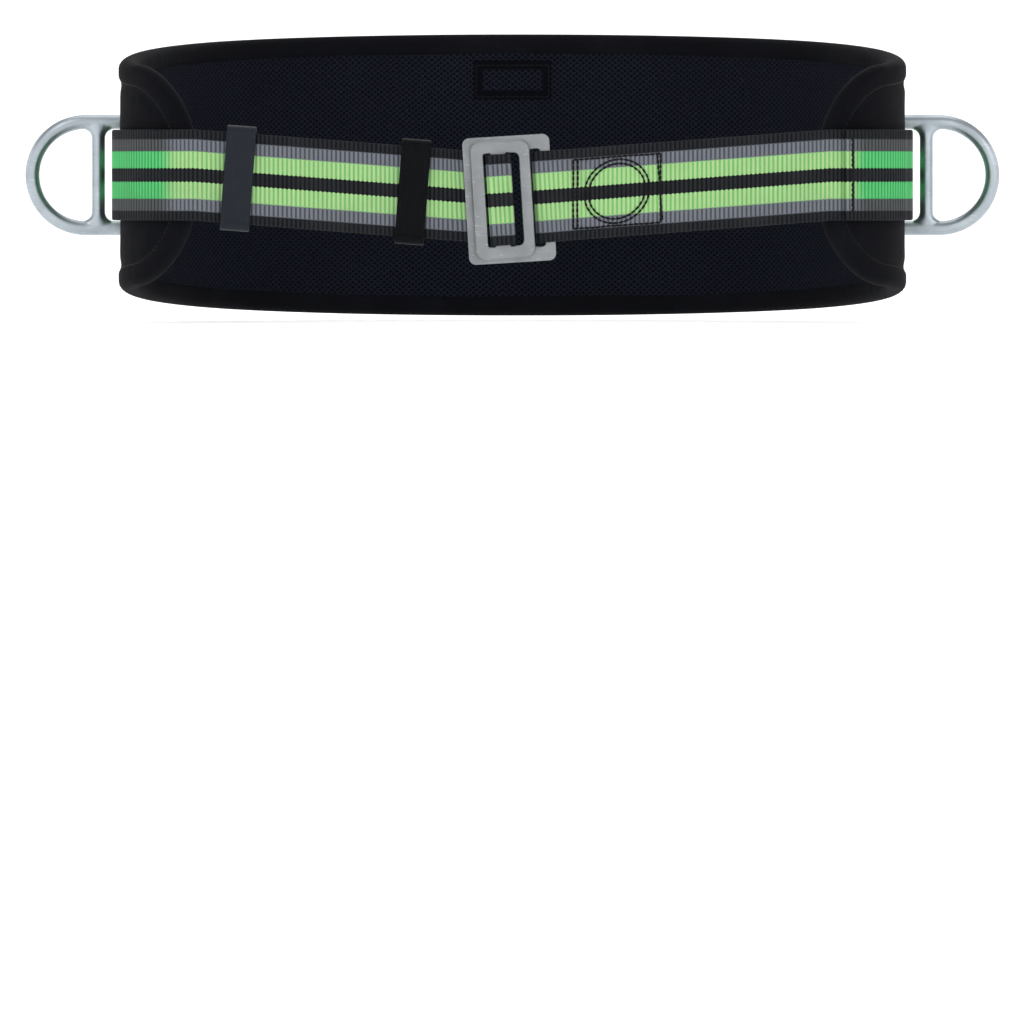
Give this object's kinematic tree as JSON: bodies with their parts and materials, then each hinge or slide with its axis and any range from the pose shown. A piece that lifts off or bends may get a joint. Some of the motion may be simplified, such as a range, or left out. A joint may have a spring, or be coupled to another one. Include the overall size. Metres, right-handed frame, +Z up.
{
  "type": "work positioning belt",
  "caption": "Padded work-positioning belt with striped webbing, a pass-through buckle, sliding keepers and a swinging D-ring on each side.",
  "frame": {"origin": "middle of the closed loop, level with the middle of the webbing; the wearer's waist axis is +Z", "axes": "+Z up, -Y the front with the buckle, +X to the right as seen from the front"},
  "size_m": [0.4866, 0.2607, 0.1426],
  "materials": {
    "shell_fabric": "coated plain-weave polyester, matt black",
    "stiffener_sheet": "polyethylene sheet",
    "foam": "closed-cell foam",
    "spacer_mesh": "knitted spacer mesh, very dark navy",
    "binding_tape": "woven black binding tape",
    "striped_webbing": "45 mm polyester webbing with black, grey and green stripes",
    "black_tape": "woven black tape",
    "thread": "bonded black polyester thread",
    "satin_steel": "zinc-plated forged and stamped steel, satin",
    "black_plastic": "moulded nylon, semi-gloss black"
  },
  "bodies": {
    "belt": {"pad_outer_shell": "shell_fabric", "pad_stiffener": "stiffener_sheet", "pad_foam": "foam", "pad_lining": "spacer_mesh", "edge_binding": "binding_tape", "hang_loop": "black_tape", "hang_loop_stitching": "thread", "main_strap": "striped_webbing", "strap_tail": "striped_webbing", "front_right_strap": "striped_webbing", "box_stitching": "thread", "circle_stitching": "thread", "right_tack": "thread", "female_plate": "satin_steel", "belt_loop_left": "black_tape", "belt_loop_left_upper_tack": "thread", "belt_loop_left_lower_tack": "thread", "belt_loop_centre": "black_tape", "belt_loop_centre_upper_tack": "thread", "belt_loop_centre_lower_tack": "thread", "belt_loop_right": "black_tape", "belt_loop_right_upper_tack": "thread", "belt_loop_right_lower_tack": "thread"},
    "left_ring": {"ring_left": "satin_steel"},
    "right_ring": {"ring_right": "satin_steel"},
    "male_buckle": {"male_plate": "satin_steel", "adjuster_wrap": "striped_webbing"},
    "outer_keeper": {"keeper_outer": "black_plastic"},
    "inner_keeper": {"keeper_inner": "black_plastic"}
  },
  "joints": [
    {"name": "left_ring_swing", "type": "hinge", "parent": "belt", "child": "left_ring", "pos_m": [-0.18943, 0.00096, 0], "axis": [0, 0, -1], "range_deg": [-42, 75]},
    {"name": "right_ring_swing", "type": "hinge", "parent": "belt", "child": "right_ring", "pos_m": [0.18943, 0.00096, 0], "axis": [0, 0, 1], "range_deg": [-42, 75]},
    {"name": "male_plate_rock", "type": "hinge", "parent": "belt", "child": "male_buckle", "pos_m": [-0.02007, -0.12446, -0.01313], "axis": [0.061, 0, -0.9981], "range_deg": [0, 20]},
    {"name": "outer_keeper_slide", "type": "slide", "parent": "belt", "child": "outer_keeper", "axis": [0.997, 0, -0.077], "range_m": [-0.008, 0.056]},
    {"name": "inner_keeper_slide", "type": "slide", "parent": "belt", "child": "inner_keeper", "axis": [0.997, 0, -0.077], "range_m": [-0.012, 0.014]}
  ]
}
